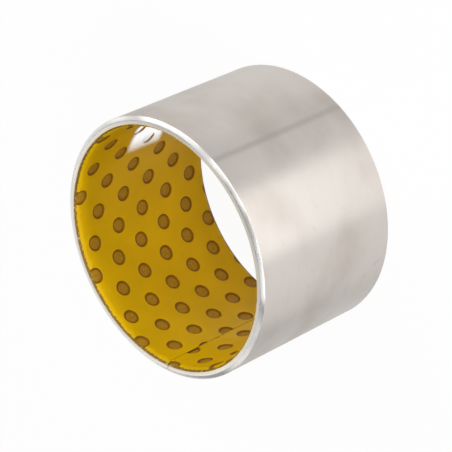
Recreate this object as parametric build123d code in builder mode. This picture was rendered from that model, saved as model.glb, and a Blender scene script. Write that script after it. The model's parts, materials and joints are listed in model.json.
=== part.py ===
from build123d import *
from math import atan, ceil, cos, degrees, hypot, pi, radians, sin, tan
import os

# Wrapped sleeve bearing, rolled from a strip of steel with a sintered bronze layer and an acetal
# running layer, so that its two ends meet in a butt joint along the sleeve.
# Millimetres. The sleeve stands on one end: the origin is the centre of that end face, +Z runs
# along the bore, and the butt joint lies at +X.

# The layers, from the bore outwards
bore_diameter = 55.0
lining_thickness = 0.45
bronze_thickness = 0.25
steel_thickness = 1.8

# The sleeve's length, its end chamfers and the gap left at the butt joint
sleeve_length = 40.0
outer_chamfer_length = 0.6
outer_chamfer_depth = 0.9
bore_chamfer_length = 1.0
joint_gap = 0.15

# A grease pocket: its width over flats at the floor, the slope of its walls, the thin skin of
# lining left under the floor, and how far it must reach into the strip to leave a mark there
pocket_sides = 12
pocket_floor_width = 3.45
pocket_wall_draft = 16.0
pocket_skin = 0.1
pocket_least_overlap = 0.2

# The pockets' pattern on the strip before it is rolled: staggered rows that lean away from the
# sleeve's axis, placed by one pocket's distance along the strip from the joint and its height
pocket_pitch = 8.0
pocket_row_spacing = 6.1
pocket_row_lean = 11.84
first_pocket_along = 3.49
first_pocket_height = 19.14

bore_radius = bore_diameter / 2
lining_outer_radius = bore_radius + lining_thickness
bronze_outer_radius = lining_outer_radius + bronze_thickness
outer_radius = bronze_outer_radius + steel_thickness
bore_circumference = 2 * pi * bore_radius
strip_begin = joint_gap / 2
strip_end = bore_circumference - joint_gap / 2
bore_chamfer_angle = atan((bronze_outer_radius - bore_radius) / bore_chamfer_length)
pocket_floor_radius = lining_outer_radius - pocket_skin
pocket_reach = pocket_floor_width / 2 - pocket_least_overlap
pocket_field = (3 * pocket_floor_width, 3 * pocket_floor_width)


def chamfer_height(radius):
    """Height above the end face at which the bore's chamfer meets a layer at this radius."""
    return (bronze_outer_radius - radius) / tan(bore_chamfer_angle)


def layer_corners(inner_radius, outer_radius):
    """Corners of an inner layer's section, with both ends cut by the bore's chamfers."""
    inner_height = chamfer_height(inner_radius)
    outer_height = chamfer_height(outer_radius)
    return [
        (inner_radius, inner_height),
        (outer_radius, outer_height),
        (outer_radius, sleeve_length - outer_height),
        (inner_radius, sleeve_length - inner_height),
    ]


def pocket_centres():
    """Places (along the strip, height) of all pockets that touch the strip."""
    lean = radians(pocket_row_lean)
    step_along = pocket_pitch * sin(lean)
    step_up = pocket_pitch * cos(lean)
    row_along = pocket_row_spacing * cos(lean)
    row_up = -pocket_row_spacing * sin(lean)
    rows = ceil(hypot(bore_circumference, sleeve_length) / pocket_row_spacing)
    steps = ceil(hypot(bore_circumference, sleeve_length) / pocket_pitch)
    lowest = chamfer_height(pocket_floor_radius) - pocket_reach
    places = []
    for row in range(-rows, rows + 1):
        for step in range(-steps, steps + 1):
            stagger = step + (row % 2) / 2
            along = first_pocket_along + row * row_along + stagger * step_along
            height = first_pocket_height + row * row_up + stagger * step_up
            touches_along = strip_begin - pocket_reach < along < strip_end + pocket_reach
            touches_height = lowest < height < sleeve_length - lowest
            if touches_along and touches_height:
                places.append((along, height))
    return places


def pocket_plane(along, height):
    """Plane of a pocket's floor, square to the radius through its centre and facing the bore."""
    angle = along / bore_radius
    outward = Vector(cos(angle), sin(angle), 0)
    floor_centre = outward * pocket_floor_radius + Vector(0, 0, height)
    return Plane(origin=floor_centre, x_dir=(-sin(angle), cos(angle), 0), z_dir=-outward)


def across_floor(along, place):
    """How far from a pocket's centre, across its floor, another place along the strip lies."""
    return pocket_floor_radius * tan((place - along) / bore_radius)


# Both ends of the rolled strip stop half a gap short of the joint's middle
gap_angle = joint_gap / bore_radius
strip_start = Plane(
    origin=(0, 0, 0),
    x_dir=(cos(gap_angle / 2), sin(gap_angle / 2), 0),
    z_dir=(sin(gap_angle / 2), -cos(gap_angle / 2), 0),
)
strip_arc = 360 - degrees(gap_angle)

# Steel backing, chamfered outside at both ends
with BuildPart() as steel_backing:
    with BuildSketch(strip_start):
        with BuildLine():
            Polyline(
                (bronze_outer_radius, 0),
                (outer_radius - outer_chamfer_depth, 0),
                (outer_radius, outer_chamfer_length),
                (outer_radius, sleeve_length - outer_chamfer_length),
                (outer_radius - outer_chamfer_depth, sleeve_length),
                (bronze_outer_radius, sleeve_length),
                close=True,
            )
        make_face()
    revolve(axis=Axis.Z, revolution_arc=strip_arc)

# Sintered bronze layer, bared on the cone of the bore's chamfers
with BuildPart() as bronze_interlayer:
    with BuildSketch(strip_start):
        with BuildLine():
            Polyline(*layer_corners(lining_outer_radius, bronze_outer_radius), close=True)
        make_face()
    revolve(axis=Axis.Z, revolution_arc=strip_arc)

# Acetal lining with its grease pockets
with BuildPart() as acetal_lining:
    with BuildSketch(strip_start):
        with BuildLine():
            Polyline(*layer_corners(bore_radius, lining_outer_radius), close=True)
        make_face()
    revolve(axis=Axis.Z, revolution_arc=strip_arc)
    for along, height in pocket_centres():
        with BuildSketch(pocket_plane(along, height)):
            RegularPolygon(
                pocket_floor_width / 2,
                pocket_sides,
                major_radius=False,
                rotation=180 / pocket_sides,
            )
            # A pocket that runs over an end of the strip is cut off there
            if along < pocket_floor_width:
                with Locations((across_floor(along, strip_begin), 0)):
                    Rectangle(*pocket_field, align=(Align.MIN, Align.CENTER), mode=Mode.INTERSECT)
            if along > bore_circumference - pocket_floor_width:
                with Locations((across_floor(along, strip_end), 0)):
                    Rectangle(*pocket_field, align=(Align.MAX, Align.CENTER), mode=Mode.INTERSECT)
    extrude(amount=2 * lining_thickness, taper=-pocket_wall_draft, mode=Mode.SUBTRACT)

steel_backing.part.label = "steel_backing"
bronze_interlayer.part.label = "bronze_interlayer"
acetal_lining.part.label = "acetal_lining"

os.makedirs("parts", exist_ok=True)
export_step(steel_backing.part, "parts/steel_backing.step")
export_step(bronze_interlayer.part, "parts/bronze_interlayer.step")
export_step(acetal_lining.part, "parts/acetal_lining.step")
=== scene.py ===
"""Wrapped sleeve bearing: a rolled steel shell, a sintered bronze layer and a yellow acetal lining.

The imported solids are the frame. Each layer is modelled again at full detail in its solid's place,
and the sleeve stands on a pale floor under soft studio lamps. Lengths are in metres.
"""
import json
import logging
import math
from collections.abc import Callable
from dataclasses import dataclass, field
from enum import Enum

import bmesh
import bpy
from mathutils import Matrix, Vector


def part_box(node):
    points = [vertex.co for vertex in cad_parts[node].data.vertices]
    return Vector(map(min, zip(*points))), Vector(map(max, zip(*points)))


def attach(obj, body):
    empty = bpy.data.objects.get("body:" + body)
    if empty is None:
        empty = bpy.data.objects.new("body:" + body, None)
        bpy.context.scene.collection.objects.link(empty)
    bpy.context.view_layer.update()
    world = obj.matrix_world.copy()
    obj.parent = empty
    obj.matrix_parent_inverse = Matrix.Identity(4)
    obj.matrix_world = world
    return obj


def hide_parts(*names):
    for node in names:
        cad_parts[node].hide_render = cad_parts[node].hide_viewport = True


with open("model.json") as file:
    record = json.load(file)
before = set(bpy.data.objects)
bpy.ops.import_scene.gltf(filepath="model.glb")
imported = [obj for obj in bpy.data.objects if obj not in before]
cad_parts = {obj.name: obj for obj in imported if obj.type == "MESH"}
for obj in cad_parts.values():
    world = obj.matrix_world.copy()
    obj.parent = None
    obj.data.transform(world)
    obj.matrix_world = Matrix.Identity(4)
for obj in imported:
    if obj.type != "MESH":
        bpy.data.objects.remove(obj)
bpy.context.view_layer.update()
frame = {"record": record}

MM = 0.001
BODY = "root"
log = logging.getLogger("sleeve_bearing")

Triple = tuple[float, float, float]
Colour = Triple


def direction(azimuth: float, elevation: float) -> Vector:
    """Return the unit vector towards an azimuth and an elevation in degrees."""
    side, rise = math.radians(azimuth), math.radians(elevation)
    return Vector((
        math.cos(side) * math.cos(rise), math.sin(side) * math.cos(rise), math.sin(rise)
    ))


class Layer(Enum):
    """The three bonded layers: the solid that each one replaces and its material slot."""

    STEEL = ("steel_backing", "steel")
    BRONZE = ("bronze_interlayer", "bronze")
    ACETAL = ("acetal_lining", "acetal")

    def __init__(self, node: str, slot: str) -> None:
        """Keep the node and the slot under their own names."""
        self.node = node
        self.slot = slot


@dataclass(frozen=True)
class SleeveSizes:
    """Main sizes of the sleeve, taken from the frame and its mounts."""

    bore_radius: float
    outer_radius: float
    length: float
    bore_chamfer: float
    outer_chamfer: float
    lining_thickness: float = 0.45 * MM
    bronze_thickness: float = 0.25 * MM
    outer_chamfer_depth: float = 0.9 * MM
    joint_gap: float = 0.15 * MM

    @classmethod
    def from_frame(cls) -> "SleeveSizes":
        """Read the sizes from the steel's box and from the bore and outside mounts.

        Returns:
            The sizes in metres.
        """
        mounts = {mount["name"]: mount["dims"] for mount in frame["record"]["mounts"]}
        steel_low, steel_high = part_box(Layer.STEEL.node)
        length = steel_high.z - steel_low.z
        return cls(
            bore_radius=mounts["bore"]["r_mm"] * MM,
            outer_radius=mounts["outside"]["r_mm"] * MM,
            length=length,
            bore_chamfer=(length - mounts["bore"]["length_mm"] * MM) / 2,
            outer_chamfer=(length - mounts["outside"]["length_mm"] * MM) / 2,
        )

    @property
    def lining_radius(self) -> float:
        """Radius at which the lining meets the bronze."""
        return self.bore_radius + self.lining_thickness

    @property
    def bronze_radius(self) -> float:
        """Radius at which the bronze meets the steel."""
        return self.lining_radius + self.bronze_thickness

    @property
    def gap_angle(self) -> float:
        """Angle that the joint's gap takes at the bore."""
        return self.joint_gap / self.bore_radius

    @property
    def bore_length(self) -> float:
        """Length of the flat strip that makes one full turn at the bore."""
        return 2 * math.pi * self.bore_radius

    @property
    def cone_depth(self) -> float:
        """How far the bore's chamfer runs outwards, through the lining and the bronze."""
        return self.bronze_radius - self.bore_radius

    @property
    def cone_slope(self) -> float:
        """Height that the bore's chamfer drops for each unit outwards."""
        return self.bore_chamfer / self.cone_depth

    def cone_height(self, radius: float) -> float:
        """Height above the end face of the bore's chamfer at a radius."""
        return (self.bronze_radius - radius) * self.cone_slope


class Bench:
    """Modelling moves that the layers share, each made with Blender's operators."""

    WELD = 0.002 * MM
    CUT_TOLERANCE = 1e-8

    @staticmethod
    def clear() -> None:
        """Leave edit mode and deselect everything."""
        if bpy.context.mode != "OBJECT":
            bpy.ops.object.mode_set(mode="OBJECT")
        bpy.ops.object.select_all(action="DESELECT")

    @staticmethod
    def name_active(name: str) -> bpy.types.Object:
        """Name the active object and its mesh.

        Args:
            name: Name for both.

        Returns:
            The active object.
        """
        piece = bpy.context.active_object
        piece.name = name
        piece.data.name = name
        return piece

    @classmethod
    def take_up(cls, piece: bpy.types.Object) -> None:
        """Make one object the only selected and active one."""
        cls.clear()
        piece.select_set(True)
        bpy.context.view_layer.objects.active = piece

    @classmethod
    def edit(cls, piece: bpy.types.Object) -> None:
        """Open an object in edit mode with nothing selected."""
        cls.take_up(piece)
        bpy.ops.object.mode_set(mode="EDIT")
        bpy.ops.mesh.select_mode(type="VERT")
        bpy.ops.mesh.select_all(action="DESELECT")

    @classmethod
    def turn_and_move(cls, piece: bpy.types.Object, turn: Triple, move: Triple) -> None:
        """Turn an object about the origin, then move it, and put both into its mesh.

        Args:
            piece: Object to place.
            turn: Euler angles in radians.
            move: Offset in metres.
        """
        cls.take_up(piece)
        piece.rotation_euler = turn
        piece.location = move
        bpy.ops.object.transform_apply(location=True, rotation=True, scale=True)

    @staticmethod
    def select(piece: bpy.types.Object, test: Callable[[Vector], bool]) -> None:
        """Select the vertices that pass a test, with the edges and faces between them.

        Args:
            piece: Object that is open in edit mode.
            test: Says for a vertex's place whether it is selected.
        """
        shape = bmesh.from_edit_mesh(piece.data)
        for vertex in shape.verts:
            vertex.select = test(vertex.co)
        shape.select_flush_mode()
        bmesh.update_edit_mesh(piece.data)

    @staticmethod
    def select_rims(piece: bpy.types.Object, test: Callable[[Vector], bool]) -> None:
        """Select the open edges whose middle passes a test.

        Args:
            piece: Object that is open in edit mode.
            test: Says for an edge's middle whether the edge is selected.
        """
        bpy.ops.mesh.select_mode(type="EDGE")
        shape = bmesh.from_edit_mesh(piece.data)
        for edge in shape.edges:
            middle = (edge.verts[0].co + edge.verts[1].co) / 2
            edge.select = len(edge.link_faces) < 2 and test(middle)
        shape.select_flush_mode()
        bmesh.update_edit_mesh(piece.data)

    @classmethod
    def cut(cls, point: Triple, outwards: Triple) -> None:
        """Cut all of the open mesh at a plane and drop the outer side.

        Args:
            point: A point of the plane.
            outwards: The plane's normal, towards what is dropped.
        """
        bpy.ops.mesh.select_all(action="SELECT")
        bpy.ops.mesh.bisect(
            plane_co=point, plane_no=outwards, clear_outer=True, use_fill=False,
            threshold=cls.CUT_TOLERANCE,
        )

    @staticmethod
    def face_outwards() -> None:
        """Turn all faces of the open mesh outwards."""
        bpy.ops.mesh.select_all(action="SELECT")
        bpy.ops.mesh.normals_make_consistent(inside=False)

    @classmethod
    def modify(cls, piece: bpy.types.Object, kind: str, **settings: object) -> None:
        """Add one modifier, set it and apply it.

        Args:
            piece: Object that gets the modifier.
            kind: Blender's name for the modifier.
            settings: Its properties.
        """
        cls.take_up(piece)
        bpy.ops.object.modifier_add(type=kind)
        modifier = piece.modifiers[-1]
        for key, value in settings.items():
            setattr(modifier, key, value)
        bpy.ops.object.modifier_apply(modifier=modifier.name)

    @classmethod
    def smooth(cls, piece: bpy.types.Object, degrees: float) -> None:
        """Shade a finished object smooth, up to an angle between its faces."""
        cls.take_up(piece)
        bpy.ops.object.shade_smooth_by_angle(angle=math.radians(degrees))
        cls.clear()

    @staticmethod
    def deliver(piece: bpy.types.Object, layer: Layer, finish: bpy.types.Material) -> None:
        """Give a finished piece its material and seat it in its solid's place.

        Args:
            piece: Finished object.
            layer: The layer that it stands for.
            finish: Its material.
        """
        piece.data.materials.clear()
        piece.data.materials.append(finish)
        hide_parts(layer.node)
        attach(piece, BODY)
        log.info("%s: %d faces", piece.name, len(piece.data.polygons))


class NodeBoard:
    """A node tree with short calls that add, set and join its nodes."""

    def __init__(self, tree: bpy.types.NodeTree) -> None:
        """Start with an empty tree."""
        self.tree = tree
        tree.nodes.clear()

    @classmethod
    def for_material(cls, name: str) -> tuple["NodeBoard", bpy.types.Material]:
        """Make a material and its board.

        Args:
            name: The material's name.

        Returns:
            The board and the material.
        """
        material = bpy.data.materials.new(name)
        material.use_nodes = True
        return cls(material.node_tree), material

    def add(self, kind: str, inputs: dict | None = None, **settings: object) -> bpy.types.Node:
        """Add a node.

        Args:
            kind: Blender's node type without its "ShaderNode".
            inputs: Socket name or number, and the value or the socket that it gets.
            settings: The node's own properties.

        Returns:
            The new node.
        """
        node = self.tree.nodes.new("ShaderNode" + kind)
        for key, value in settings.items():
            setattr(node, key, value)
        for key, value in (inputs or {}).items():
            if isinstance(value, bpy.types.NodeSocket):
                self.tree.links.new(value, node.inputs[key])
            elif isinstance(value, tuple) and len(value) == 3 and node.inputs[key].type == "RGBA":
                node.inputs[key].default_value = (*value, 1.0)
            else:
                node.inputs[key].default_value = value
        return node

    def math(self, operation: str, *values: object) -> bpy.types.NodeSocket:
        """Add a Math node and return its result."""
        return self.add("Math", dict(enumerate(values)), operation=operation).outputs[0]

    def spread(
        self, value: object, low: float, high: float, new_low: float, new_high: float
    ) -> bpy.types.NodeSocket:
        """Map a value from one range to another, smoothly and clamped.

        Args:
            value: Socket to read.
            low: Value that becomes new_low.
            high: Value that becomes new_high.
            new_low: Result at and below low.
            new_high: Result at and above high.

        Returns:
            The result's socket.
        """
        ranges = {"Value": value, 1: low, 2: high, 3: new_low, 4: new_high}
        return self.add("MapRange", ranges, interpolation_type="SMOOTHSTEP").outputs[0]

    def blend(self, share: object, first: object, second: object) -> bpy.types.NodeSocket:
        """Mix two colours by the Mix node's colour sockets and return the result."""
        mixer = self.add("Mix", {0: share, 6: first, 7: second}, data_type="RGBA")
        return mixer.outputs[2]

    def vector(self, operation: str, *values: object) -> bpy.types.NodeSocket:
        """Add a Vector Math node and return its vector."""
        return self.add("VectorMath", dict(enumerate(values)), operation=operation).outputs[0]

    def noise(self, place: object, scale: float, detail: float = 2.0) -> bpy.types.NodeSocket:
        """Add a noise texture and return its value."""
        inputs = {"Vector": place, "Scale": scale, "Detail": detail}
        return self.add("TexNoise", inputs).outputs["Fac"]

    def stretched(self, place: object, scale: Triple) -> bpy.types.NodeSocket:
        """Scale a place by axis and return it."""
        return self.add("Mapping", {"Vector": place, "Scale": scale}).outputs[0]

    def object_place(self) -> bpy.types.NodeSocket:
        """Return the place on the piece, in metres."""
        return self.add("TexCoord").outputs["Object"]

    def unrolled(self, radius: float) -> tuple[bpy.types.NodeSocket, ...]:
        """Unroll the sleeve's wall flat.

        Args:
            radius: Radius at which arcs are measured.

        Returns:
            Sockets of the flat place (arc from opposite the joint, height, radius), of the
            height and of the radius.
        """
        parts = self.add("SeparateXYZ", {0: self.object_place()}).outputs
        back_x = self.math("MULTIPLY", parts[0], -1.0)
        back_y = self.math("MULTIPLY", parts[1], -1.0)
        arc = self.math("MULTIPLY", self.math("ARCTAN2", back_y, back_x), radius)
        squares = self.math("ADD", self.math("POWER", parts[0], 2.0), self.math("POWER", parts[1], 2.0))
        from_axis = self.math("SQRT", squares)
        flat = self.add("CombineXYZ", {0: arc, 1: parts[2], 2: from_axis}).outputs[0]
        return flat, parts[2], from_axis

    def bump(self, height: object, distance: float) -> bpy.types.NodeSocket:
        """Add a bump from a height and return its normal."""
        return self.add("Bump", {"Height": height, "Distance": distance}).outputs[0]

    def surface(self, shader: bpy.types.NodeSocket) -> None:
        """Join a shader to the material's surface."""
        output = self.add("OutputMaterial", {"Surface": shader})
        output.is_active_output = True


@dataclass(frozen=True)
class Mottle:
    """A noise pattern: features per metre, stretch by axis, detail, and the band that shows."""

    scale: float
    stretch: Triple = (1.0, 1.0, 1.0)
    detail: float = 3.0
    low: float = 0.3
    high: float = 0.7

    def share(self, board: NodeBoard, place: object) -> bpy.types.NodeSocket:
        """Add the pattern to a board.

        Args:
            board: Board of the material.
            place: Socket of the place that the pattern follows.

        Returns:
            Socket of the pattern's share, from 0 to 1.
        """
        noise = board.noise(board.stretched(place, self.stretch), self.scale, self.detail)
        return board.spread(noise, self.low, self.high, 0.0, 1.0)


@dataclass(frozen=True)
class SteelFinish:
    """Satin rolled steel with a thin tin flash, stained on the wall, bright where it was cut, and with
    a painted dark reflection line along the wall.
    """

    wall: Colour = (0.62, 0.578, 0.54)
    stain: Colour = (0.50, 0.445, 0.40)
    # Dark colour of the painted reflection line along the wall.
    painted_reflection_line: Colour = (0.42, 0.38, 0.35)
    cut: Colour = (0.82, 0.80, 0.775)
    smear: Colour = (0.80, 0.69, 0.47)
    smear_width: float = 0.75 * MM
    wall_roughness: float = 0.40
    cut_roughness: float = 0.26
    anisotropy: float = 0.9
    quarter_turn: float = 0.25
    chamfer_band: float = 0.08 * MM
    relief_height: float = 0.0012 * MM
    clouds: Mottle = Mottle(60.0, (0.8, 1.0, 1.0), 4.0, 0.40, 0.72)
    cloud_stain: float = 0.8
    spots: Mottle = Mottle(420.0, detail=4.0, low=0.60, high=0.76)
    spot_stain: float = 0.35
    streaks: Mottle = Mottle(1500.0, (0.12, 2.2, 1.0), 4.0, 0.25, 0.75)
    streak_roughness: float = 0.05
    scuffs: Mottle = Mottle(260.0, (0.3, 1.6, 1.0), 5.0, 0.56, 0.74)
    scuff_roughness: float = 0.08
    scuff_relief: float = 0.6
    # Place, width and wander of the painted reflection line.
    mark_azimuth: float = math.radians(147.5)
    mark_width: float = 1.3 * MM
    mark_wander: float = 0.5 * MM
    wanders_per_metre: float = 60.0
    mark_strength: float = 0.55

    def painted_reflection_share(self, board: NodeBoard, flat: object, radius: float) -> bpy.types.NodeSocket:
        """Add a painted reflection: a faint dark line along the sleeve, standing in for the edge of a
        darker reflected region.

        Args:
            board: Board of the material.
            flat: Socket of the unrolled place.
            radius: Radius at which its arcs are measured.

        Returns:
            Socket of the mark's share.
        """
        arc = board.add("SeparateXYZ", {0: flat}).outputs[0]
        along_sleeve = board.stretched(flat, (0.0, 1.0, 0.0))
        wander = board.noise(along_sleeve, self.wanders_per_metre)
        offset = board.math("MULTIPLY", board.math("SUBTRACT", wander, 0.5), self.mark_wander)
        from_mark = board.math("SUBTRACT", arc, (self.mark_azimuth - math.pi) * radius)
        distance = board.math("ABSOLUTE", board.math("ADD", from_mark, offset))
        return board.spread(distance, 0.0, self.mark_width, self.mark_strength, 0.0)

    def material(self, sizes: SleeveSizes) -> bpy.types.Material:
        """Make the material.

        Args:
            sizes: The sleeve's sizes.

        Returns:
            The material.
        """
        board, material = NodeBoard.for_material("tin_flashed_steel")
        flat, _, from_axis = board.unrolled(sizes.outer_radius)
        stained = board.math("MULTIPLY", self.clouds.share(board, flat), self.cloud_stain)
        spotted = board.math("MULTIPLY", self.spots.share(board, flat), self.spot_stain)
        wall = board.blend(board.math("MAXIMUM", stained, spotted), self.wall, self.stain)
        # Painted reflection: a faint dark line along the wall where a darker region would be mirrored.
        wall = board.blend(self.painted_reflection_share(board, flat, sizes.outer_radius), wall, self.painted_reflection_line)
        smear_end = sizes.bronze_radius + self.smear_width
        smeared = board.spread(from_axis, sizes.bronze_radius, smear_end, 1.0, 0.0)
        cut = board.blend(smeared, self.cut, self.smear)
        wall_start = sizes.outer_radius - self.chamfer_band
        on_wall = board.spread(from_axis, wall_start, sizes.outer_radius, 0.0, 1.0)
        streaks = self.streaks.share(board, flat)
        scuffs = self.scuffs.share(board, flat)
        rough = board.spread(on_wall, 0.0, 1.0, self.cut_roughness, self.wall_roughness)
        rough = board.math("ADD", rough, board.math("MULTIPLY", streaks, self.streak_roughness))
        rough = board.math("ADD", rough, board.math("MULTIPLY", scuffs, self.scuff_roughness))
        relief = board.math("ADD", streaks, board.math("MULTIPLY", scuffs, self.scuff_relief))
        tangent = board.add("Tangent", direction_type="RADIAL", axis="Z").outputs[0]
        shader = board.add("BsdfPrincipled", {
            "Base Color": board.blend(on_wall, cut, wall),
            "Metallic": 1.0,
            "Roughness": rough,
            "Anisotropic": self.anisotropy,
            "Anisotropic Rotation": self.quarter_turn,
            "Tangent": tangent,
            "Normal": board.bump(relief, self.relief_height),
        })
        board.surface(shader.outputs[0])
        return material


@dataclass(frozen=True)
class BronzeFinish:
    """Sintered bronze: dark matt grains, smeared bright here and there by the chamfering tool."""

    colour: Colour = (0.20, 0.115, 0.035)
    smear: Colour = (0.62, 0.50, 0.30)
    roughness: float = 0.55
    metallic: float = 0.5
    grains_per_metre: float = 4500.0
    grain_relief: float = 0.02 * MM
    patches: Mottle = Mottle(2200.0, low=0.56, high=0.68)

    def material(self, sizes: SleeveSizes) -> bpy.types.Material:
        """Make the material.

        Args:
            sizes: The sleeve's sizes.

        Returns:
            The material.
        """
        board, material = NodeBoard.for_material("sintered_bronze")
        place = board.object_place()
        inputs = {"Vector": place, "Scale": self.grains_per_metre}
        grains = board.add("TexVoronoi", inputs).outputs["Distance"]
        shader = board.add("BsdfPrincipled", {
            "Base Color": board.blend(self.patches.share(board, place), self.colour, self.smear),
            "Metallic": self.metallic,
            "Roughness": self.roughness,
            "Normal": board.bump(grains, self.grain_relief),
        })
        board.surface(shader.outputs[0])
        return material


@dataclass(frozen=True)
class AcetalFinish:
    """Smooth yellow acetal: brown pocket floors, dark pocket walls that are partly painted shade, a
    torn dark edge on the cones, and a glossy patch that is a painted highlight.
    """

    colour: Colour = (0.71, 0.445, 0.0012)
    deep: Colour = (0.65, 0.40, 0.001)
    # Dark brown of the pocket walls and their rounded foot: partly the lining thinned over the bronze,
    # partly painted shade in the recess.
    wall: Colour = (0.23, 0.105, 0.002)
    floor: Colour = (0.46, 0.25, 0.02)
    floor_shade: Colour = (0.34, 0.18, 0.011)
    fringe: Colour = (0.17, 0.108, 0.012)
    roughness: float = 0.36
    floor_roughness: float = 0.5
    specular: float = 0.12
    relief_height: float = 0.004 * MM
    clouds: Mottle = Mottle(120.0)
    cloud_relief: float = 2.0
    fine: Mottle = Mottle(2600.0, detail=2.0, low=0.35, high=0.65)
    tears: Mottle = Mottle(1700.0, low=0.25, high=0.75)
    fringe_height: float = 0.33 * MM
    fringe_reach: float = 0.27 * MM
    fringe_blur: float = 0.10 * MM
    # Depth shares over which the pocket walls turn dark brown, partly as painted shade.
    wall_shade_depths: tuple[float, float] = (0.06, 0.36)
    floor_depths: tuple[float, float] = (0.93, 1.0)
    # These fields make a painted highlight: a white glossy patch on the lining with a bent normal.
    glare_azimuth: float = math.radians(236.0)
    glare_height: float = 20.8 * MM
    glare_half_sizes: tuple[float, float] = (5.2 * MM, 4.9 * MM)
    glare_blur: float = 0.9 * MM
    glare_slants: tuple[float, float] = (0.50, 0.58)
    glare_gloss: float = 0.95
    glare_roughness: float = 0.07
    glare_tint: Colour = (1.0, 1.0, 1.0)
    glare_curve_centre: Triple = (10.3 * MM, 24.3 * MM, 0.0)

    def fringe_share(
        self, board: NodeBoard, place: object, height: object, length: float
    ) -> bpy.types.NodeSocket:
        """Add the torn edge where the cone's cutter smeared lining and bronze together.

        Args:
            board: Board of the material.
            place: Socket of the place on the piece.
            height: Socket of the height above the lower end.
            length: The sleeve's length.

        Returns:
            Socket of the edge's share.
        """
        from_middle = board.math("ABSOLUTE", board.math("SUBTRACT", height, length / 2))
        from_end = board.math("SUBTRACT", length / 2, from_middle)
        reach = board.math("MULTIPLY", self.tears.share(board, place), self.fringe_reach)
        inside = board.math("SUBTRACT", from_end, board.math("ADD", reach, self.fringe_height))
        return board.spread(inside, -self.fringe_blur, self.fringe_blur, 1.0, 0.0)

    def painted_glare_patch(
        self, board: NodeBoard, flat: object, radius: float
    ) -> tuple[bpy.types.NodeSocket, bpy.types.NodeSocket]:
        """Add a painted highlight: a glossy patch whose normal is bent towards a set centre, so that it
        mirrors white at a slant.

        Args:
            board: Board of the material.
            flat: Socket of the unrolled place.
            radius: Radius at which its arcs are measured.

        Returns:
            Sockets of the patch's share and of its glossy shader.
        """
        parts = board.add("SeparateXYZ", {0: flat}).outputs
        arc = board.math("SUBTRACT", parts[0], (self.glare_azimuth - math.pi) * radius)
        rise = board.math("SUBTRACT", parts[1], self.glare_height)
        inwards = board.vector("SUBTRACT", self.glare_curve_centre, board.object_place())
        normal = board.vector("NORMALIZE", board.vector("MULTIPLY", inwards, (1.0, 1.0, 0.0)))
        facing = board.add("LayerWeight", {"Normal": normal}).outputs["Facing"]
        share = board.spread(facing, *self.glare_slants, 0.0, self.glare_gloss)
        for place, half_size in zip((arc, rise), self.glare_half_sizes):
            reach = board.math("ABSOLUTE", place)
            edge = (half_size - self.glare_blur, half_size + self.glare_blur)
            share = board.math("MULTIPLY", share, board.spread(reach, *edge, 1.0, 0.0))
        gloss = board.add("BsdfGlossy", {
            "Color": self.glare_tint, "Roughness": self.glare_roughness, "Normal": normal,
        })
        return share, gloss.outputs[0]

    def material(self, sizes: SleeveSizes) -> bpy.types.Material:
        """Make the material.

        Args:
            sizes: The sleeve's sizes.

        Returns:
            The material.
        """
        board, material = NodeBoard.for_material("yellow_acetal")
        flat, height, _ = board.unrolled(sizes.bore_radius)
        place = board.object_place()
        clouds = self.clouds.share(board, flat)
        fine = self.fine.share(board, place)
        depth = board.add("Attribute", attribute_name=GreaseLining.DEPTH).outputs["Fac"]
        on_floor = board.spread(depth, *self.floor_depths, 0.0, 1.0)
        colour = board.blend(clouds, self.colour, self.deep)
        # Pocket walls and foot darken to a dark brown ring: partly the thin lining over bronze, partly
        # painted shade in the recess.
        colour = board.blend(board.spread(depth, *self.wall_shade_depths, 0.0, 1.0), colour, self.wall)
        brown = board.blend(fine, self.floor, self.floor_shade)
        colour = board.blend(on_floor, colour, brown)
        torn = self.fringe_share(board, place, height, sizes.length)
        colour = board.blend(torn, colour, self.fringe)
        relief = board.math("ADD", fine, board.math("MULTIPLY", clouds, self.cloud_relief))
        normal = board.bump(relief, self.relief_height)
        shader = board.add("BsdfPrincipled", {
            "Base Color": colour,
            "Roughness": board.spread(on_floor, 0.0, 1.0, self.roughness, self.floor_roughness),
            "Specular IOR Level": self.specular,
            "Normal": normal,
        })
        # Mix in the painted highlight: a white glossy patch on the lining.
        patch, gloss = self.painted_glare_patch(board, flat, sizes.bore_radius)
        mixed = board.add("MixShader", {0: patch, 1: shader.outputs[0], 2: gloss})
        board.surface(mixed.outputs[0])
        return material


@dataclass
class SteelBacking:
    """The rolled steel shell with its chamfered ends and its butt joint."""

    sizes: SleeveSizes
    finish: SteelFinish = field(default_factory=SteelFinish)
    edge_round: float = 0.09 * MM
    round_segments: int = 3
    steps: int = 360
    smooth_angle: float = 25.0

    def section(self) -> bpy.types.Object:
        """Draw the wall's section in the joint's plane.

        Returns:
            The section as one face.
        """
        sizes = self.sizes
        wall = sizes.outer_radius - sizes.bronze_radius
        middle = (sizes.outer_radius + sizes.bronze_radius) / 2
        Bench.clear()
        bpy.ops.mesh.primitive_plane_add(
            size=1, location=(middle, 0, sizes.length / 2), rotation=(math.pi / 2, 0, 0)
        )
        section = Bench.name_active("steel_shell")
        section.scale = (wall, sizes.length, 1)
        bpy.ops.object.transform_apply(location=True, rotation=True, scale=True)
        Bench.edit(section)
        face_radius = sizes.outer_radius - sizes.outer_chamfer_depth
        for end, up in ((0.0, -1.0), (sizes.length, 1.0)):
            Bench.cut((face_radius, 0, end), (sizes.outer_chamfer, 0, up * sizes.outer_chamfer_depth))
        Bench.select(section, lambda place: place.x > sizes.bronze_radius + Bench.WELD)
        bpy.ops.mesh.bevel(
            offset=self.edge_round, segments=self.round_segments, affect="VERTICES"
        )
        return section

    def build(self) -> bpy.types.Object:
        """Spin the section round to the joint's other side and finish the shell.

        Returns:
            The finished shell.
        """
        piece = self.section()
        spin_closed(piece, self.sizes, self.steps)
        Bench.smooth(piece, self.smooth_angle)
        Bench.deliver(piece, Layer.STEEL, self.finish.material(self.sizes))
        return piece


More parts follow.
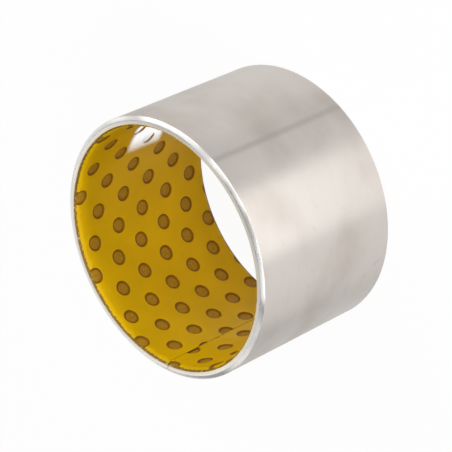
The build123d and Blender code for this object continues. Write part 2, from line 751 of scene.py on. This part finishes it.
def spin_closed(piece: bpy.types.Object, sizes: SleeveSizes, steps: int) -> None:
    """Spin a section about the sleeve's axis, from one side of the joint to the other.

    Args:
        piece: Object with the section as one face, in the plane through the axis and +X.
        sizes: The sleeve's sizes.
        steps: Number of steps round the sleeve.
    """
    Bench.edit(piece)
    bpy.ops.mesh.select_all(action="SELECT")
    bpy.ops.mesh.spin(
        steps=steps, angle=2 * math.pi - sizes.gap_angle, center=(0, 0, 0), axis=(0, 0, 1)
    )
    Bench.face_outwards()
    Bench.turn_and_move(piece, (0, 0, sizes.gap_angle / 2), (0, 0, 0))


@dataclass
class BronzeInterlayer:
    """The sintered layer, bared as a grainy band on the bore's chamfers."""

    sizes: SleeveSizes
    finish: BronzeFinish = field(default_factory=BronzeFinish)
    steps: int = 1080
    band_cuts: int = 5
    grain_height: float = 0.05 * MM
    grain_size: float = 0.12 * MM
    grain_middle: float = 0.6
    smooth_angle: float = 60.0

    def build(self) -> bpy.types.Object:
        """Spin the layer's section and roughen its bared bands.

        Returns:
            The finished layer.
        """
        sizes = self.sizes
        Bench.clear()
        middle = (sizes.lining_radius + sizes.bronze_radius) / 2
        bpy.ops.mesh.primitive_plane_add(
            size=1, location=(middle, 0, sizes.length / 2), rotation=(math.pi / 2, 0, 0)
        )
        piece = Bench.name_active("bronze_layer")
        piece.scale = (sizes.bronze_radius - sizes.lining_radius, sizes.length, 1)
        bpy.ops.object.transform_apply(location=True, rotation=True, scale=True)
        Bench.edit(piece)
        for end, up in ((0.0, -1.0), (sizes.length, 1.0)):
            Bench.cut((sizes.bronze_radius, 0, end), (-sizes.cone_slope, 0, up))
        height = sizes.cone_height(sizes.lining_radius) + Bench.WELD
        for low, high in ((0.0, height), (sizes.length - height, sizes.length)):
            Bench.select(piece, lambda place: low - Bench.WELD < place.z < high + Bench.WELD)
            bpy.ops.mesh.subdivide(number_cuts=self.band_cuts)
        spin_closed(piece, sizes, self.steps)
        self.roughen(piece)
        Bench.smooth(piece, self.smooth_angle)
        Bench.deliver(piece, Layer.BRONZE, self.finish.material(sizes))
        return piece

    def roughen(self, piece: bpy.types.Object) -> None:
        """Push the bared bands in and out by grains.

        Args:
            piece: The spun layer.
        """
        sizes = self.sizes
        inner = sizes.lining_radius + Bench.WELD
        outer = sizes.bronze_radius - Bench.WELD
        band = piece.vertex_groups.new(name="bared_band")
        bared = [
            vertex.index
            for vertex in piece.data.vertices
            if inner < vertex.co.xy.length < outer
        ]
        band.add(bared, 1.0, "REPLACE")
        grains = bpy.data.textures.new("bronze_grains", "CLOUDS")
        grains.noise_scale = self.grain_size
        Bench.modify(
            piece, "DISPLACE", texture=grains, vertex_group="bared_band",
            texture_coords="LOCAL", strength=self.grain_height, mid_level=self.grain_middle,
        )


@dataclass
class GreaseLining:
    """The acetal lining: modelled flat with its grease pockets, cut to size and rolled up."""

    DEPTH = "pocket_depth"

    sizes: SleeveSizes
    finish: AcetalFinish = field(default_factory=AcetalFinish)
    pocket_pitch: float = 8.0 * MM
    row_spacing: float = 6.1 * MM
    row_lean: float = math.radians(11.84)
    first_along: float = 3.49 * MM
    first_height: float = 19.14 * MM
    pocket_depth: float = 0.35 * MM
    floor_radius: float = 1.725 * MM
    mouth_radius: float = 1.825 * MM
    lip: float = 0.08 * MM
    lip_profile: tuple[tuple[float, float], ...] = ((3.0, 0.0), (1.0, 0.0), (0.3, 0.25), (-0.1, 0.8))
    foot_width: float = 0.62 * MM
    foot_height: float = 0.17 * MM
    foot_steps: int = 3
    middle_share: float = 0.4
    sides: int = 8
    rows_before: int = 2
    steps_before: int = 5
    spare_steps: int = 3
    back_strips: int = 70
    smooth_angle: float = 48.0

    def rings(self) -> list[tuple[float, float]]:
        """List the pocket's rings as radius and depth, from the land round it to its middle.

        Returns:
            The rings: the lip's (its profile counts in lips from the mouth), the rounded foot's
            and one on the floor.
        """
        rings = [
            (self.mouth_radius + out * self.lip, down * self.lip) for out, down in self.lip_profile
        ]
        for step in range(self.foot_steps + 1):
            turn = math.pi / 2 * step / self.foot_steps
            inwards = self.foot_width * (1 - math.cos(turn))
            above = self.foot_height * (1 - math.sin(turn))
            rings.append((self.floor_radius - inwards, self.pocket_depth - above))
        rings.append((self.middle_share * self.floor_radius, self.pocket_depth))
        return rings

    def cell(self) -> bpy.types.Object:
        """Model one pocket in the middle of its rectangle of land, with depth along +Z.

        Returns:
            The cell.
        """
        Bench.clear()
        bpy.ops.mesh.primitive_grid_add(x_subdivisions=self.sides, y_subdivisions=self.sides, size=1)
        cell = Bench.name_active("acetal_liner")
        cell.scale = (self.row_spacing, self.pocket_pitch, 1)
        bpy.ops.object.transform_apply(location=True, rotation=True, scale=True)
        Bench.edit(cell)
        half_row = self.row_spacing / 2 - Bench.WELD
        half_pitch = self.pocket_pitch / 2 - Bench.WELD
        Bench.select(cell, lambda place: abs(place.x) < half_row and abs(place.y) < half_pitch)
        bpy.ops.mesh.delete(type="VERT")
        rings = self.rings()
        bpy.ops.mesh.primitive_circle_add(vertices=4 * self.sides, radius=rings[0][0])
        bpy.ops.mesh.select_all(action="SELECT")
        bpy.ops.mesh.bridge_edge_loops(number_cuts=1, interpolation="LINEAR")
        reach = rings[0][0] + Bench.WELD
        Bench.select(cell, lambda place: place.length < reach)
        for (radius, depth), (next_radius, next_depth) in zip(rings, rings[1:]):
            move = {"value": (0, 0, next_depth - depth)}
            bpy.ops.mesh.extrude_region_move(TRANSFORM_OT_translate=move)
            share = next_radius / radius
            bpy.ops.transform.resize(value=(share, share, 1), center_override=(0, 0, next_depth))
        bpy.ops.mesh.extrude_region_move()
        bpy.ops.mesh.merge(type="CENTER")
        Bench.clear()
        self.mark_depth(cell)
        return cell

    def mark_depth(self, cell: bpy.types.Object) -> None:
        """Write each point's share of the pocket's depth into the mesh, for the finish.

        Args:
            cell: The cell.
        """
        mark = cell.data.attributes.new(self.DEPTH, "FLOAT", "POINT")
        for vertex in cell.data.vertices:
            mark.data[vertex.index].value = vertex.co.z / self.pocket_depth

    def sheet(self) -> bpy.types.Object:
        """Repeat the cell over the strip, in rows that step by half a pitch and lean.

        Returns:
            The bore's surface, flat: X along the strip, Y its height and Z its depth.
        """
        sizes = self.sizes
        sheet = self.cell()
        reach = math.hypot(sizes.bore_length, sizes.length)
        row_pairs = math.ceil(reach / (2 * self.row_spacing)) + 1
        rise = sizes.bore_length * math.sin(self.row_lean) + sizes.length
        steps = math.ceil(rise / self.pocket_pitch) + self.spare_steps
        next_row = (self.row_spacing, self.pocket_pitch / 2, 0)
        plain = {"use_relative_offset": False, "use_constant_offset": True}
        Bench.modify(sheet, "ARRAY", count=2, constant_offset_displace=next_row, **plain)
        pair = (2 * self.row_spacing, 0, 0)
        Bench.modify(sheet, "ARRAY", count=row_pairs, constant_offset_displace=pair, **plain)
        pitch = (0, self.pocket_pitch, 0)
        Bench.modify(sheet, "ARRAY", count=steps, constant_offset_displace=pitch, **plain)
        back = (-self.rows_before * self.row_spacing, -self.steps_before * self.pocket_pitch, 0)
        Bench.turn_and_move(sheet, (0, 0, 0), back)
        Bench.turn_and_move(
            sheet, (0, 0, -self.row_lean), (self.first_along, self.first_height, 0)
        )
        Bench.edit(sheet)
        bpy.ops.mesh.select_all(action="SELECT")
        bpy.ops.mesh.remove_doubles(threshold=Bench.WELD)
        return sheet

    def trim(self, sheet: bpy.types.Object) -> None:
        """Cut the sheet at the joint's two sides and at both end chamfers.

        Args:
            sheet: The flat sheet, open in edit mode.
        """
        sizes = self.sizes
        half_gap = sizes.joint_gap / 2
        Bench.cut((half_gap, 0, 0), (-1, 0, 0))
        Bench.cut((sizes.bore_length - half_gap, 0, 0), (1, 0, 0))
        Bench.cut((0, sizes.bore_chamfer, 0), (0, -1, -sizes.cone_slope))
        Bench.cut((0, sizes.length - sizes.bore_chamfer, 0), (0, 1, -sizes.cone_slope))

    def back_up(self, sheet: bpy.types.Object) -> None:
        """Carry the chamfers down to the lining's back and close it and the joint's sides.

        Args:
            sheet: The trimmed sheet, open in edit mode.
        """
        sizes = self.sizes
        thickness = sizes.lining_radius - sizes.bore_radius
        low = sizes.cone_height(sizes.lining_radius)
        high = sizes.length - low
        middle = sizes.length / 2
        half_gap = sizes.joint_gap / 2
        first, last = half_gap + Bench.WELD, sizes.bore_length - half_gap - Bench.WELD
        for end in (low, high):
            Bench.select_rims(
                sheet,
                lambda place: (place.y < middle) == (end < middle) and first < place.x < last,
            )
            bpy.ops.mesh.extrude_region_move()
            bpy.ops.transform.resize(value=(1, 0, 0), center_override=(0, end, thickness))
        bpy.ops.mesh.select_mode(type="VERT")
        at_back = thickness - Bench.WELD
        for near_end in (lambda along: along < first, lambda along: along > last):
            Bench.select(sheet, lambda place: place.z > at_back and near_end(place.x))
            bpy.ops.mesh.edge_face_add()
        Bench.select_rims(sheet, lambda place: place.z > at_back)
        bpy.ops.mesh.edge_face_add()
        bpy.ops.mesh.select_all(action="SELECT")
        bpy.ops.mesh.fill_holes(sides=0)
        bpy.ops.mesh.select_mode(type="VERT")
        for cut in range(1, self.back_strips):
            Bench.select(sheet, lambda place: place.z > at_back)
            along = first + (last - first) * cut / self.back_strips
            bpy.ops.mesh.bisect(
                plane_co=(along, 0, 0), plane_no=(1, 0, 0), threshold=Bench.CUT_TOLERANCE
            )

    def roll(self, sheet: bpy.types.Object) -> None:
        """Roll the flat lining up round the sleeve's axis, with the joint at +X.

        Args:
            sheet: The flat solid.
        """
        sizes = self.sizes
        Bench.turn_and_move(sheet, (math.pi / 2, 0, 0), (0, 0, 0))
        angle = 2 * math.pi - sizes.gap_angle
        Bench.modify(sheet, "SIMPLE_DEFORM", deform_method="BEND", deform_axis="Z", angle=angle)
        Bench.turn_and_move(sheet, (0, 0, 0), (0, -sizes.bore_radius, 0))
        Bench.turn_and_move(sheet, (0, 0, math.pi / 2), (0, 0, 0))

    def build(self) -> bpy.types.Object:
        """Make the lining.

        Returns:
            The finished lining.
        """
        piece = self.sheet()
        self.trim(piece)
        self.back_up(piece)
        Bench.face_outwards()
        Bench.clear()
        self.roll(piece)
        Bench.smooth(piece, self.smooth_angle)
        Bench.deliver(piece, Layer.ACETAL, self.finish.material(self.sizes))
        return piece


@dataclass(frozen=True)
class Softbox:
    """A soft lamp, placed by the direction that it shines from."""

    name: str
    azimuth: float
    elevation: float
    width: float
    height: float
    power: float
    distance: float = 0.9

    def place(self, target: Vector) -> None:
        """Hang the lamp and turn it to its target.

        Args:
            target: Point that it shines at.
        """
        outwards = direction(self.azimuth, self.elevation)
        lamp = bpy.data.lights.new(self.name, "AREA")
        lamp.shape = "RECTANGLE"
        lamp.size, lamp.size_y = self.width, self.height
        lamp.energy = self.power
        holder = bpy.data.objects.new(self.name, lamp)
        bpy.context.scene.collection.objects.link(holder)
        holder.location = target + outwards * self.distance
        holder.rotation_euler = (-outwards).to_track_quat("-Z", "Y").to_euler()


@dataclass(frozen=True)
class Viewpoint:
    """The photograph's viewing angle: a long lens above the open end, rolled on its side."""

    azimuth: float = 123.477
    elevation: float = 39.63
    roll: float = 114.70
    distance: float = 507.9 * MM
    aim_offset: Triple = (1.18 * MM, 0.17 * MM, 0.61 * MM)
    focal_pixels: float = 2303.2
    image_pixels: float = 452.0
    sensor: float = 36.0
    clip: tuple[float, float] = (0.01, 10.0)

    def place(self, centre: Vector) -> None:
        """Make the scene's camera.

        Args:
            centre: Middle of the sleeve.
        """
        back = direction(self.azimuth, self.elevation)
        lens = bpy.data.cameras.new("camera")
        lens.sensor_width = self.sensor
        lens.lens = self.sensor * self.focal_pixels / self.image_pixels
        lens.clip_start, lens.clip_end = self.clip
        camera = bpy.data.objects.new("camera", lens)
        bpy.context.scene.collection.objects.link(camera)
        upright = (-back).to_track_quat("-Z", "Y").to_matrix().to_4x4()
        rolled = Matrix.Rotation(math.radians(self.roll), 4, -back) @ upright
        aim = centre + Vector(self.aim_offset)
        camera.matrix_world = Matrix.Translation(aim + back * self.distance) @ rolled
        bpy.context.scene.camera = camera


@dataclass(frozen=True)
class Studio:
    """Pale floor, white surroundings and the soft lamps."""

    floor_size: float = 3.0
    floor_colour: Colour = (0.86, 0.86, 0.86)
    camera_white: float = 0.94
    gloss_white: float = 1.0
    ambient: float = 0.05
    lamps: tuple[Softbox, ...] = (
        Softbox("front_foot", 110.0, 3.2, 0.85, 0.08, 3.9),
        Softbox("right_foot", 57.0, 3.2, 0.75, 0.08, 1.2),
        Softbox("front_box", 112.0, 42.0, 0.6, 0.4, 1.8),
        Softbox("right_box", 68.0, 42.0, 0.6, 0.4, 2.05),
        Softbox("left_box", 152.0, 42.0, 0.6, 0.4, 2.55),
        Softbox("left_wall", 210.0, 26.0, 0.9, 0.5, 2.95),
        Softbox("left_end", 250.0, 26.0, 0.45, 0.5, 0.6),
        Softbox("left_top", 215.0, 58.0, 0.6, 0.6, 1.0),
        Softbox("back_foot", 268.0, 10.0, 0.6, 0.3, 0.55),
        Softbox("back_box", 303.0, 26.0, 0.45, 0.5, 0.85),
        Softbox("back_top", 320.0, 58.0, 0.6, 0.6, 0.45),
        Softbox("right_end", 330.0, 26.0, 0.45, 0.5, 0.25),
        Softbox("right_strip", 355.0, 24.0, 0.3, 0.4, 0.42),
        Softbox("right_top", 12.0, 40.0, 0.4, 0.4, 0.5),
    )

    def floor(self) -> None:
        """Lay the floor that the sleeve stands on."""
        Bench.clear()
        bpy.ops.mesh.primitive_plane_add(size=self.floor_size, location=(0, 0, 0))
        floor = Bench.name_active("studio_floor")
        bpy.ops.object.transform_apply(location=True, rotation=True, scale=True)
        board, material = NodeBoard.for_material("pale_floor")
        path = board.add("LightPath").outputs
        seen = board.math("MULTIPLY", path["Is Camera Ray"], self.camera_white)
        mirrored = board.math("MULTIPLY", path["Is Glossy Ray"], self.gloss_white)
        white_share = board.math("MAXIMUM", seen, mirrored)
        lit = board.add("BsdfDiffuse", {"Color": self.floor_colour}).outputs[0]
        white = board.add("Emission", {"Color": (1.0, 1.0, 1.0), "Strength": 1.0}).outputs[0]
        shown = board.add("MixShader", {0: white_share, 1: lit, 2: white}).outputs[0]
        board.surface(shown)
        floor.data.materials.append(material)

    def surroundings(self) -> None:
        """Make the world: white to the camera, softer as a light."""
        world = bpy.data.worlds.new("studio")
        bpy.context.scene.world = world
        world.use_nodes = True
        board = NodeBoard(world.node_tree)
        path = board.add("LightPath").outputs
        strength = board.math("MAXIMUM", path["Is Camera Ray"], self.ambient)
        backdrop = board.add("Background", {"Color": (1.0, 1.0, 1.0), "Strength": strength})
        board.add("OutputWorld", {"Surface": backdrop.outputs[0]})

    def build(self, centre: Vector) -> None:
        """Set up floor, world and lamps.

        Args:
            centre: Middle of the sleeve.
        """
        self.floor()
        self.surroundings()
        for lamp in self.lamps:
            lamp.place(centre)
        bpy.context.scene.view_settings.view_transform = "Standard"


def main() -> None:
    """Build the camera, the studio and the three layers."""
    logging.basicConfig(level=logging.INFO, format="%(message)s")
    sizes = SleeveSizes.from_frame()
    centre = Vector((0, 0, sizes.length / 2))
    Viewpoint().place(centre)
    Studio().build(centre)
    for assembly in (SteelBacking(sizes), BronzeInterlayer(sizes), GreaseLining(sizes)):
        assembly.build()


if __name__ == "__main__":
    main()
